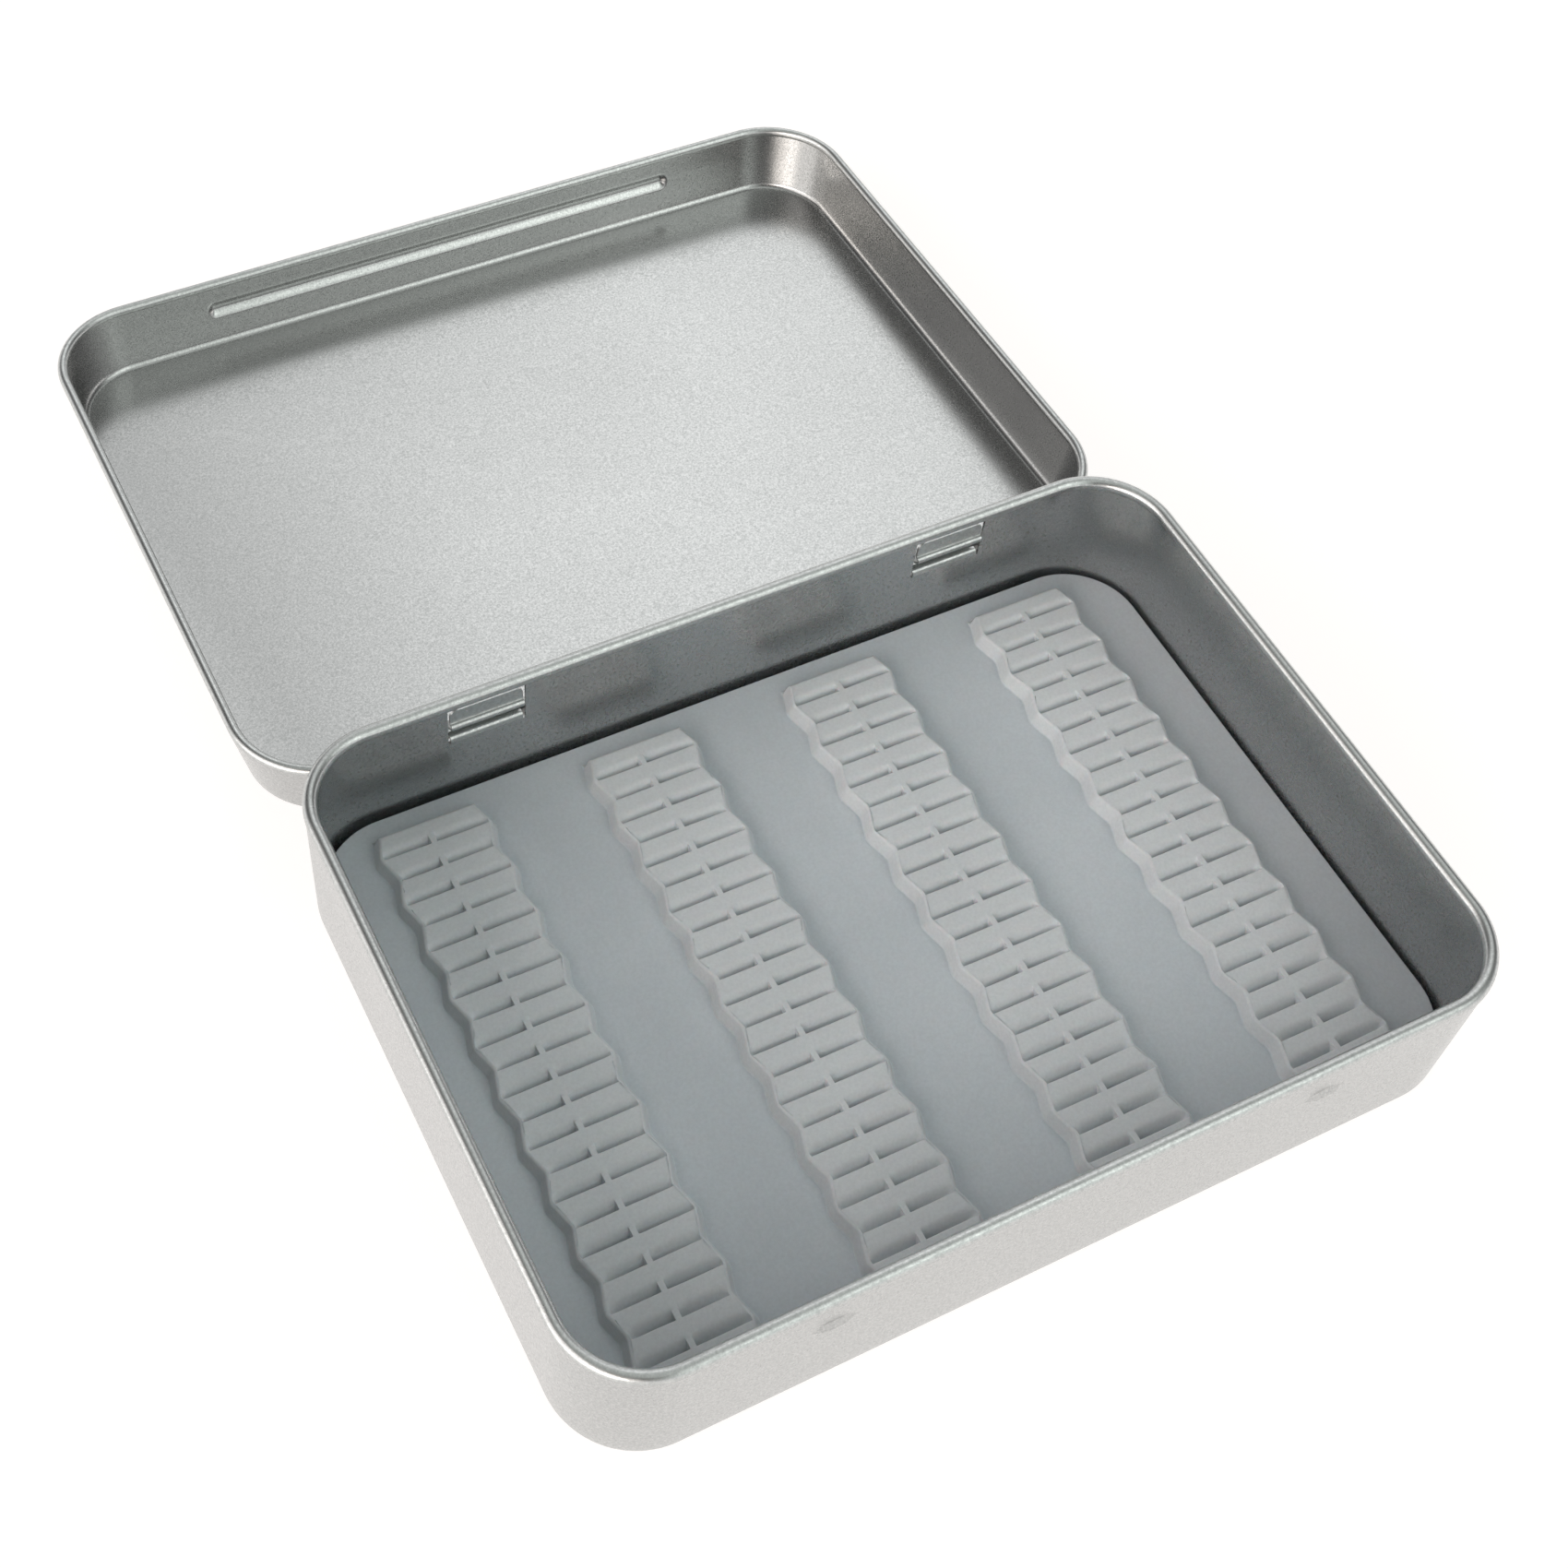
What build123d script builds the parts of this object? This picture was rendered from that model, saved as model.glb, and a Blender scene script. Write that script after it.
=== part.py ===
from build123d import *
import os
from math import asin, atan2, cos, degrees, hypot, radians, sin, sqrt

# Hinged tinplate fly box, lid folded right back, with a slit soft insert in the base.
# Millimetres. The origin is the middle of the base's underside: X runs along the long
# sides, Y from the front wall to the hinge wall, Z up. The lid is drawn at rest, open,
# lying behind the base with its far edge on the table.

# ---- driving dimensions -------------------------------------------------------------
sheet = 0.3  # tinplate thickness

base_length = 110.8  # outside the base's walls
base_width = 80.8
base_height = 22.0  # underside to the top of the rolled rim
base_corner_r = 10.2  # plan radius outside the rim
base_heel_r = 2.3  # outside radius between wall and bottom
base_curl_r = 0.83  # outside radius of the rolled rim
rim_joggle = 0.15  # how far the base's rim stands proud of its wall

lid_overhang = 2.1  # lid rim outside the base's wall, each side
lid_depth = 9.8  # rim to the outside of the panel
lid_curl_r = 0.65
lid_seat_gap = 0.1  # all round the base's rolled rim when closed
table_gap = 0.02  # lid's far edge above the table when open

joggle_r = 0.4  # bend radius of the step below the base's rim
curl_turn = 285.0  # degrees of roll in a rim

hinge_spacing = 61.2  # between the middles of the two hinges
slot_width = 9.6
slot_side_gap = 0.3  # slot edge to lug, each side
slot_head = 2.2  # rim top down to the slot
lug_tip_gap = 0.9  # slot top down to the lug's tip
lug_tip_r = 1.0
lip_height = 0.1  # centre of the lip's bend above the hinge axis
nose_r = 0.5  # outside radius of the nose that the lug has inside the wall
nose_height = 3.0  # centre of the nose above the hinge axis
fold_r = 0.22  # middle of the sheet where the lug folds up from its nose
running_gap = 0.08  # lug to the rim it turns on
window_height = 2.2  # cut in the lid's skirt above the hinge axis
window_side_gap = 0.4
wire_gap = 0.02  # hinge wire to the inside of the lid's roll
wire_length = 84.0

bump_spacing = 58.6  # two snap bumps on the front wall
bump_length = 5.1
bump_height = 2.2
bump_rise = 0.55
bump_slope = 0.45  # how far its sides lean in
bump_drop = 6.0  # rim top down to the bumps' centres

groove_length = 68.4  # long groove pressed out of the lid's front wall, seen from inside
groove_height = 2.6
groove_depth = 0.6
groove_slope = 0.6
groove_drop = 4.7  # lid rim to the groove's centre

pad_thickness = 1.0  # adhesive foam under the mat
pad_margin = 3.6  # floor's inside edge to the pad
pad_corner_r = 7.0
mat_thickness = 2.8
mat_margin = 0.8  # wall's inside face to the mat
mat_edge_r = 0.3

strip_count = 4
strip_edge_gap = 6.65  # mat's end to the foot of the first strip
strip_side_gap = 2.65  # mat's long side to the foot of a strip's end
strip_rise = 1.8
strip_wide = 13.6  # top width at the odd slits
strip_narrow = 11.7  # top width at the even slits and at the ends
strip_draft = 0.65  # how much further out the foot is
strip_end = 2.8  # last slit to the strip's end
slit_count = 21
slit_width = 0.5
slit_depth = 1.5
slit_margin = 0.3  # slit's end to the edge of the top
slit_bridge = 0.8  # left uncut in the middle

# ---- worked out from them -----------------------------------------------------------
half_sheet = sheet / 2
lid_length = base_length + 2 * lid_overhang
lid_width = base_width + 2 * lid_overhang
# Closed, the lid's heel nests round the base's rolled rim.
lid_heel_r = base_curl_r + lid_seat_gap + sheet
lid_taper = lid_overhang - rim_joggle - lid_seat_gap - sheet
lid_corner_r = base_corner_r + lid_overhang / 2

rim_z_closed = base_height + lid_seat_gap + sheet - lid_depth
axis_y = lid_width / 2 - lid_curl_r
axis_z = rim_z_closed + lid_curl_r

# The open lid leans back until the round of its far edge meets the table.
lean_arm = lid_width - lid_curl_r - lid_taper - lid_heel_r
lean_drop = lid_depth - lid_curl_r - lid_heel_r
lean_height = axis_z - lid_heel_r - table_gap
lid_lean = degrees(asin(lean_height / hypot(lean_arm, lean_drop)) - atan2(lean_drop, lean_arm))
lid_rest = Pos(0, axis_y, axis_z) * Rot(-lid_lean, 0, 0) * Pos(0, axis_y, lid_curl_r - lid_depth)
closed_angle = 180 + lid_lean

wall_mid_y = base_width / 2 - half_sheet
floor_top = sheet
mat_z = floor_top + pad_thickness
mat_top = mat_z + mat_thickness
slot_top = base_height - slot_head
lug_width = slot_width - 2 * slot_side_gap


def wall_lean(depth, heel_r, taper, joggle, curl_r):
    """Angle, in radians, that a tray's wall leans outwards between its heel and its rim."""
    curl_u = heel_r + taper + joggle - curl_r
    climb = depth - curl_r - heel_r
    return atan2(curl_u, climb) - asin((heel_r - curl_r + joggle) / hypot(curl_u, climb))


def pressed_tray(length, width, depth, corner_r, heel_r, taper, joggle, curl_r):
    """One sheet drawn into a tray: flat floor, round heel, wall leaning out by taper, and
    a rim rolled inwards that stands proud of the wall by joggle. Its floor is at Z = 0."""
    foot = heel_r + taper + joggle
    heel_mid_r = heel_r - half_sheet
    curl_mid_r = curl_r - half_sheet
    curl_u = foot - curl_r
    lean = wall_lean(depth, heel_r, taper, joggle, curl_r)
    along = Vector(sin(lean), cos(lean))
    out = Vector(cos(lean), -sin(lean))
    turn = degrees(atan2(sqrt(joggle * (4 * joggle_r - joggle)), 2 * joggle_r - joggle))
    neck = 2 * joggle_r * sin(radians(turn))
    heel_end = Vector(0, heel_r) + out * heel_mid_r
    wall_end = Vector(curl_u, depth - curl_r) + out * (curl_mid_r - joggle) - along * neck
    edge_x = length / 2 - foot
    edge_y = width / 2 - foot
    start = Plane(origin=(0, -edge_y, 0), x_dir=(0, -1, 0), z_dir=(-1, 0, 0))
    with BuildPart() as tray:
        with BuildLine() as edge:
            turn_r = corner_r - foot
            run_x = edge_x - turn_r
            run_y = edge_y - turn_r
            Line((0, -edge_y), (run_x, -edge_y))
            CenterArc((run_x, -run_y), turn_r, -90, 90)
            Line((edge_x, -run_y), (edge_x, run_y))
            CenterArc((run_x, run_y), turn_r, 0, 90)
            Line((run_x, edge_y), (-run_x, edge_y))
            CenterArc((-run_x, run_y), turn_r, 90, 90)
            Line((-edge_x, run_y), (-edge_x, -run_y))
            CenterArc((-run_x, -run_y), turn_r, 180, 90)
            Line((-run_x, -edge_y), (0, -edge_y))
        with BuildSketch(start):
            with BuildLine():
                CenterArc((0, heel_r), heel_mid_r, -90, 90 - degrees(lean))
                Line(heel_end, wall_end)
                if joggle > 0:
                    step_out = JernArc(wall_end, along, joggle_r, -turn)
                    step_up = JernArc(step_out @ 1, step_out % 1, joggle_r, turn)
                    JernArc(step_up @ 1, step_up % 1, curl_mid_r, curl_turn)
                else:
                    JernArc(wall_end, along, curl_mid_r, curl_turn)
            trace(line_width=sheet)
        sweep(path=edge.wires()[0])
        with BuildSketch():
            RectangleRounded(2 * edge_x, 2 * edge_y, turn_r)
        extrude(amount=sheet)
    return tray.part


# ---- base shell ---------------------------------------------------------------------
# The two lugs are tongues of the base's own wall. Each leaves the bottom of its slot over
# a round lip, rolls under and around the lid's rim, comes back through the slot to a round
# nose inside the wall, and folds up from it into the slot as a flap.
with BuildPart() as hinge_lug:
    with BuildSketch(Plane.YZ):
        with BuildLine():
            lug_mid_r = lid_curl_r + running_gap + half_sheet
            drop_y = axis_y - lug_mid_r
            lip_z = axis_z + lip_height
            lip_r = (drop_y - wall_mid_y) / 2
            Line((wall_mid_y, lip_z - lip_r), (wall_mid_y, lip_z))
            CenterArc((wall_mid_y + lip_r, lip_z), lip_r, 180, -180)
            Line((drop_y, lip_z), (drop_y, axis_z))
            nose_mid_r = nose_r - half_sheet
            nose_y = wall_mid_y - fold_r
            nose_z = axis_z + nose_height
            across = hypot(axis_y - nose_y, nose_height)
            lead_angle = degrees(
                atan2(nose_height, nose_y - axis_y) + asin((lug_mid_r + nose_mid_r) / across)
            )
            roll = CenterArc((axis_y, axis_z), lug_mid_r, 180, 90 + lead_angle)
            nose = CenterArc((nose_y, nose_z), nose_mid_r, 90 + lead_angle, -lead_angle)
            Line(roll @ 1, nose @ 0)
            fold = CenterArc((nose_y, nose_z + nose_mid_r + fold_r), fold_r, -90, 90)
            Line(fold @ 1, (wall_mid_y, slot_top - lug_tip_gap))
        trace(line_width=sheet)
    extrude(amount=lug_width / 2, both=True)
    tip_corners = hinge_lug.edges().filter_by(Axis.Y).sort_by(Axis.Z)[-2:]
    fillet(tip_corners, lug_tip_r)

# The two snap bumps are pressed out of the front wall, so each is hollow from inside.
bump_z = base_height - bump_drop
bump_face = Plane(origin=(0, -base_width / 2, bump_z), x_dir=(1, 0, 0), z_dir=(0, -1, 0))

with BuildPart() as snap_bump:
    with BuildSketch(bump_face):
        Ellipse(bump_length / 2, bump_height / 2)
    with BuildSketch(bump_face.offset(bump_rise)):
        Ellipse(bump_length / 2 - bump_slope, bump_height / 2 - bump_slope)
    loft()

with BuildPart() as bump_hollow:
    with BuildSketch(bump_face.offset(-sheet)):
        Ellipse(bump_length / 2 - half_sheet, bump_height / 2 - half_sheet)
    with BuildSketch(bump_face.offset(bump_rise - sheet)):
        Ellipse(
            bump_length / 2 - half_sheet - bump_slope, bump_height / 2 - half_sheet - bump_slope
        )
    loft()

with BuildPart() as base_shell:
    add(
        pressed_tray(
            base_length + 2 * rim_joggle,
            base_width + 2 * rim_joggle,
            base_height,
            base_corner_r + rim_joggle,
            base_heel_r,
            0,
            rim_joggle,
            base_curl_r,
        )
    )
    slot_bottom = lip_z - lip_r
    with Locations((0, wall_mid_y, (slot_top + slot_bottom) / 2)):
        with GridLocations(hinge_spacing, 1, 2, 1):
            Box(slot_width, 3 * sheet, slot_top - slot_bottom, mode=Mode.SUBTRACT)
    with GridLocations(hinge_spacing, 1, 2, 1):
        add(hinge_lug.part)
    with GridLocations(bump_spacing, 1, 2, 1):
        add(snap_bump.part)
        add(bump_hollow.part, mode=Mode.SUBTRACT)

# ---- lid shell, drawn as a tray with its hinge edge towards -Y, then laid open ------
pivot_z = lid_depth - lid_curl_r

with BuildPart() as window_cut:
    with Locations((0, -axis_y, pivot_z - window_height / 2)):
        with GridLocations(hinge_spacing, 1, 2, 1):
            Box(lug_width + 2 * window_side_gap, 4 * lid_curl_r, window_height)
    with Locations(Location((0, -axis_y, pivot_z), (0, 90, 0))):
        Cylinder(lid_curl_r, lid_length, mode=Mode.SUBTRACT)

# The long groove in the lid's front wall is pressed outwards, so it stands proud outside.
groove_z = lid_depth - groove_drop
front_lean = wall_lean(lid_depth, lid_heel_r, lid_taper, 0, lid_curl_r)
groove_run = (groove_drop - lid_curl_r * (1 + sin(front_lean))) / cos(front_lean)
front_y = lid_width / 2 - lid_curl_r * (1 - cos(front_lean)) - groove_run * sin(front_lean)
front_face = Plane(
    origin=(0, front_y, groove_z), x_dir=(1, 0, 0), z_dir=(0, cos(front_lean), -sin(front_lean))
)

with BuildPart() as groove:
    with BuildSketch(front_face):
        SlotOverall(groove_length, groove_height)
    with BuildSketch(front_face.offset(groove_depth)):
        SlotOverall(groove_length - 2 * groove_slope, groove_height - 2 * groove_slope)
    loft()

with BuildPart() as groove_hollow:
    with BuildSketch(front_face.offset(-sheet)):
        SlotOverall(groove_length - sheet, groove_height - sheet)
    with BuildSketch(front_face.offset(groove_depth - sheet)):
        SlotOverall(
            groove_length - sheet - 2 * groove_slope, groove_height - sheet - 2 * groove_slope
        )
    loft()

with BuildPart() as lid_tray:
    add(
        pressed_tray(
            lid_length, lid_width, lid_depth, lid_corner_r, lid_heel_r, lid_taper, 0, lid_curl_r
        )
    )
    # A window in the skirt behind each lug leaves the rolled rim bare as a pivot.
    add(window_cut.part, mode=Mode.SUBTRACT)
    add(groove.part)
    add(groove_hollow.part, mode=Mode.SUBTRACT)

with BuildPart() as lid_shell:
    add(lid_tray.part.moved(lid_rest))

with BuildPart() as wire_blank:
    with Locations(Location((0, -axis_y, pivot_z), (0, 90, 0))):
        Cylinder(lid_curl_r - sheet - wire_gap, wire_length)

with BuildPart() as hinge_wire:
    add(wire_blank.part.moved(lid_rest))

# ---- insert: adhesive pad, mat and four slit strips ---------------------------------
with BuildPart() as adhesive_pad:
    with BuildSketch(Plane.XY.offset(floor_top)):
        RectangleRounded(base_length - 2 * pad_margin, base_width - 2 * pad_margin, pad_corner_r)
    extrude(amount=pad_thickness)

mat_inset = sheet + mat_margin
mat_length = base_length - 2 * mat_inset
mat_width = base_width - 2 * mat_inset

with BuildPart() as mat:
    with BuildSketch(Plane.XY.offset(mat_z)):
        RectangleRounded(mat_length, mat_width, base_corner_r - mat_inset)
    extrude(amount=mat_thickness)
    fillet(mat.faces().sort_by(Axis.Z)[-1].edges(), mat_edge_r)

strip_span = mat_length - 2 * (strip_edge_gap + strip_draft) - strip_wide
strip_pitch = strip_span / (strip_count - 1)
strip_half_length = mat_width / 2 - strip_side_gap - strip_draft
slit_run = 2 * (strip_half_length - strip_end)
slit_pitch = slit_run / (slit_count - 1)


def strip_outline(grow):
    """Right edge of a strip from front to back, in step with the slits, then its mirror."""
    narrow_x = strip_narrow / 2 + grow
    wide_x = strip_wide / 2 + grow
    right = [(narrow_x, -strip_half_length - grow)]
    for slit in range(slit_count):
        edge_x = narrow_x if slit % 2 else wide_x
        right.append((edge_x, slit * slit_pitch - slit_run / 2))
    right.append((narrow_x, strip_half_length + grow))
    left = [(-x, y) for x, y in reversed(right)]
    return right + left


with BuildPart() as strip_blank:
    with BuildSketch(Plane.XY.offset(mat_top)):
        with BuildLine():
            Polyline(*strip_outline(strip_draft), close=True)
        make_face()
    with BuildSketch(Plane.XY.offset(mat_top + strip_rise)):
        with BuildLine():
            Polyline(*strip_outline(0), close=True)
        make_face()
    loft(ruled=True)
    slit_z = mat_top + strip_rise - slit_depth / 2
    for slit in range(slit_count):
        top_width = strip_narrow if slit % 2 else strip_wide
        half_cut = top_width / 2 - slit_margin - slit_bridge / 2
        slit_x = (slit_bridge + half_cut) / 2
        slit_y = slit * slit_pitch - slit_run / 2
        with Locations((-slit_x, slit_y, slit_z), (slit_x, slit_y, slit_z)):
            Box(half_cut, slit_width, slit_depth, mode=Mode.SUBTRACT)

first_strip_x = -(strip_count - 1) * strip_pitch / 2

with BuildPart() as strip_1:
    add(strip_blank.part.moved(Pos(first_strip_x, 0, 0)))

with BuildPart() as strip_2:
    add(strip_blank.part.moved(Pos(first_strip_x + strip_pitch, 0, 0)))

with BuildPart() as strip_3:
    add(strip_blank.part.moved(Pos(first_strip_x + 2 * strip_pitch, 0, 0)))

with BuildPart() as strip_4:
    add(strip_blank.part.moved(Pos(first_strip_x + 3 * strip_pitch, 0, 0)))

# ---- export -------------------------------------------------------------------------
base_shell.part.label = "base_shell"
lid_shell.part.label = "lid_shell"
hinge_wire.part.label = "hinge_wire"
adhesive_pad.part.label = "adhesive_pad"
mat.part.label = "mat"
strip_1.part.label = "strip_1"
strip_2.part.label = "strip_2"
strip_3.part.label = "strip_3"
strip_4.part.label = "strip_4"

os.makedirs("parts", exist_ok=True)
export_step(base_shell.part, "parts/base_shell.step")
export_step(lid_shell.part, "parts/lid_shell.step")
export_step(hinge_wire.part, "parts/hinge_wire.step")
export_step(adhesive_pad.part, "parts/adhesive_pad.step")
export_step(mat.part, "parts/mat.step")
export_step(strip_1.part, "parts/strip_1.step")
export_step(strip_2.part, "parts/strip_2.step")
export_step(strip_3.part, "parts/strip_3.step")
export_step(strip_4.part, "parts/strip_4.step")
print("hinge axis y", axis_y, "z", axis_z, "closed angle", closed_angle)
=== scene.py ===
import bpy
import bmesh
import numpy as np
from math import asin, atan2, cos, hypot, pi, radians, sin, sqrt, tan
from mathutils import Matrix, Vector


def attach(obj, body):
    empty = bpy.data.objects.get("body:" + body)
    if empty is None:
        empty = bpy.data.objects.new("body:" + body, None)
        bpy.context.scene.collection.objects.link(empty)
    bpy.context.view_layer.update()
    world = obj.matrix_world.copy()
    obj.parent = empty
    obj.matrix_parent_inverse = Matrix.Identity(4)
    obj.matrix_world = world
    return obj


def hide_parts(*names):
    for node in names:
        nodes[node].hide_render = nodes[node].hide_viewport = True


# A hinged tinplate fly box, open, with a slit soft insert. The two pressed shells and the
# insert are fine meshes that replace their CAD nodes; the hinge wire and the adhesive pad
# are the CAD nodes with a material. The hinge edge of the base is its +Y side.

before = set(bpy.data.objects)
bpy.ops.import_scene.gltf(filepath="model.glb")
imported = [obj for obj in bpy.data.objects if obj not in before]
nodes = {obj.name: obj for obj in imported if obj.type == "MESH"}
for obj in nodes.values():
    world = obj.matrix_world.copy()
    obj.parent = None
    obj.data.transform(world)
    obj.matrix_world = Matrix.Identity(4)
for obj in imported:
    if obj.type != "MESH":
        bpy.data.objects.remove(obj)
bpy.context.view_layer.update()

# ---- sizes, in millimetres and as the solids have them; meshes are made in metres ----
SHEET = 0.3

# A pressed tray: length, width and corner_r are taken round its rim. The wall leans out by
# taper between the heel and the rim, and joggle is a small step out just below the rim.
BASE = dict(
    length=111.1, width=81.1, depth=22.0, corner_r=10.35,
    heel_r=2.3, taper=0.0, joggle=0.15, curl_r=0.83,
)
LID = dict(
    length=115.0, width=85.0, depth=9.8, corner_r=11.25,
    heel_r=1.23, taper=1.55, joggle=0.0, curl_r=0.65,
)
JOGGLE_R = 0.4
CURL_TURN = radians(285)

# The hinge: the lid's rolled rear rim turns in two lugs, tongues of the base's rear wall.
HINGE_X = 30.6
AXIS_Y, AXIS_Z = 41.85, 13.25
RUNNING_GAP = 0.08
WALL_MID_Y = 40.25
SLOT_HALF, SLOT_TOP = 4.8, 19.8
LUG_HALF, LUG_TIP_R, TIP_GAP = 4.5, 1.0, 0.9
LUG_SHOULDER = SLOT_TOP - TIP_GAP - LUG_TIP_R
LUG_R = LID["curl_r"] + RUNNING_GAP + SHEET / 2
LIP_Z = AXIS_Z + 0.1
LIP_R = (AXIS_Y - LUG_R - WALL_MID_Y) / 2
SLOT_BOTTOM = LIP_Z - LIP_R
NOSE_R, NOSE_UP = 0.5 - SHEET / 2, 3.0
FOLD_R = 0.22
WINDOW_HALF, WINDOW_HEIGHT = LUG_HALF + 0.4, 2.2
TABLE_GAP = 0.02

# How finely the round parts of the sheet are divided.
HEEL_STEPS, JOGGLE_STEPS, ROLL_STEPS, CORNER_STEPS = 10, 4, 30, 24
LIP_STEPS, RIM_STEPS, NOSE_STEPS, FOLD_STEPS, TIP_STEPS = 16, 28, 14, 6, 8


# ---- mesh helpers -------------------------------------------------------------------
def piece(name, verts, faces, materials, body, sharp=35.0, replace=(), rim=()):
    """A smooth-shaded mesh from points in millimetres, riding on a body. The faces listed in
    rim take the second material."""
    mesh = bpy.data.meshes.new(name)
    mesh.from_pydata((np.asarray(verts, float) * 0.001).tolist(), [], faces)
    bm = bmesh.new()
    bm.from_mesh(mesh)
    bmesh.ops.recalc_face_normals(bm, faces=bm.faces)
    bm.to_mesh(mesh)
    bm.free()
    mesh.polygons.foreach_set("use_smooth", [True] * len(mesh.polygons))
    mesh.set_sharp_from_angle(angle=radians(sharp))
    for material in materials:
        mesh.materials.append(material)
    for i in rim:
        mesh.polygons[i].material_index = 1
    obj = bpy.data.objects.new(name, mesh)
    bpy.context.scene.collection.objects.link(obj)
    if replace:
        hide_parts(*replace)
    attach(obj, body)
    return obj


def smooth(t):
    t = min(1.0, max(0.0, t))
    return t * t * (3 - 2 * t)


def lines(lo, hi, *spans):
    """Sorted positions from lo to hi, with each (a, b, count) span divided evenly."""
    got = {lo, hi}
    for a, b, count in spans:
        got.update(a + (b - a) * k / count for k in range(count + 1))
    return sorted(got)


def bend(rows, r, turn, n):
    """Carries a centre line of (x, z, tangent x, tangent z) on round an arc; left is positive."""
    x, z, tx, tz = rows[-1]
    s = 1 if turn > 0 else -1
    cx, cz = x - s * r * tz, z + s * r * tx
    for k in range(1, n + 1):
        a = turn * k / n
        ux, uz = tx * cos(a) - tz * sin(a), tx * sin(a) + tz * cos(a)
        rows.append((cx + s * r * uz, cz - s * r * ux, ux, uz))


def run(rows, length):
    """Carries a centre line straight on."""
    x, z, tx, tz = rows[-1]
    rows.append((x + tx * length, z + tz * length, tx, tz))


def tray_section(size, wall_z):
    """The sheet's centre line from the flat floor's edge out and up to the end of the roll,
    with a row at each height in wall_z."""
    depth, heel_r, curl_r = size["depth"], size["heel_r"], size["curl_r"]
    taper, joggle = size["taper"], size["joggle"]
    half = SHEET / 2
    curl_u = heel_r + taper + joggle - curl_r
    climb = depth - curl_r - heel_r
    lean = atan2(curl_u, climb) - asin((heel_r - curl_r + joggle) / hypot(curl_u, climb))
    turn = atan2(sqrt(joggle * (4 * JOGGLE_R - joggle)), 2 * JOGGLE_R - joggle)
    neck = 2 * JOGGLE_R * sin(turn)
    rows = [(0.0, half, 1.0, 0.0)]
    bend(rows, heel_r - half, pi / 2 - lean, HEEL_STEPS)
    x0, z0 = rows[-1][:2]
    x1 = curl_u + cos(lean) * (curl_r - half - joggle) - sin(lean) * neck
    z1 = depth - curl_r - sin(lean) * (curl_r - half - joggle) - cos(lean) * neck
    for z in wall_z:
        rows.append((x0 + (x1 - x0) * (z - z0) / (z1 - z0), z, sin(lean), cos(lean)))
    rows.append((x1, z1, sin(lean), cos(lean)))
    if joggle:
        bend(rows, JOGGLE_R, -turn, JOGGLE_STEPS)
        bend(rows, JOGGLE_R, turn, JOGGLE_STEPS)
    bend(rows, curl_r - half, CURL_TURN, ROLL_STEPS)
    return rows


def ring(edge_x, edge_y, r, low_x, high_x):
    """Stations (x, y, normal x, normal y) round a rounded rectangle, from the -Y side on. The
    -Y side has stations at low_x, and the +Y side at high_x."""
    rx, ry = edge_x - r, edge_y - r
    out = [(x, -edge_y, 0, -1) for x in low_x]

    def corner(cx, cy, a0):
        for k in range(1, CORNER_STEPS):
            a = radians(a0 + 90 * k / CORNER_STEPS)
            out.append((cx + r * cos(a), cy + r * sin(a), cos(a), sin(a)))

    sides = [-ry, -ry / 3, ry / 3, ry]
    corner(rx, -ry, -90)
    out.extend((edge_x, y, 1, 0) for y in sides)
    corner(rx, ry, 0)
    out.extend((x, edge_y, 0, 1) for x in reversed(high_x))
    corner(-rx, ry, 90)
    out.extend((-edge_x, y, -1, 0) for y in reversed(sides))
    corner(-rx, -ry, 180)
    return out


def cut_cells(stations, rows, holes):
    """The (station, row) cells of a tray's wall that lie in its holes."""
    cells = set()
    for side, x0, x1, z0, z1 in holes:
        for i, a in enumerate(stations):
            b = stations[(i + 1) % len(stations)]
            straight = abs(a[3]) == 1 and abs(b[3]) == 1
            if not straight or a[1] * side <= 0 or not x0 < (a[0] + b[0]) / 2 < x1:
                continue
            for j in range(len(rows) - ROLL_STEPS - 1):
                if z0 < (rows[j][1] + rows[j + 1][1]) / 2 < z1:
                    cells.add((i, j))
    return cells


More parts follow.
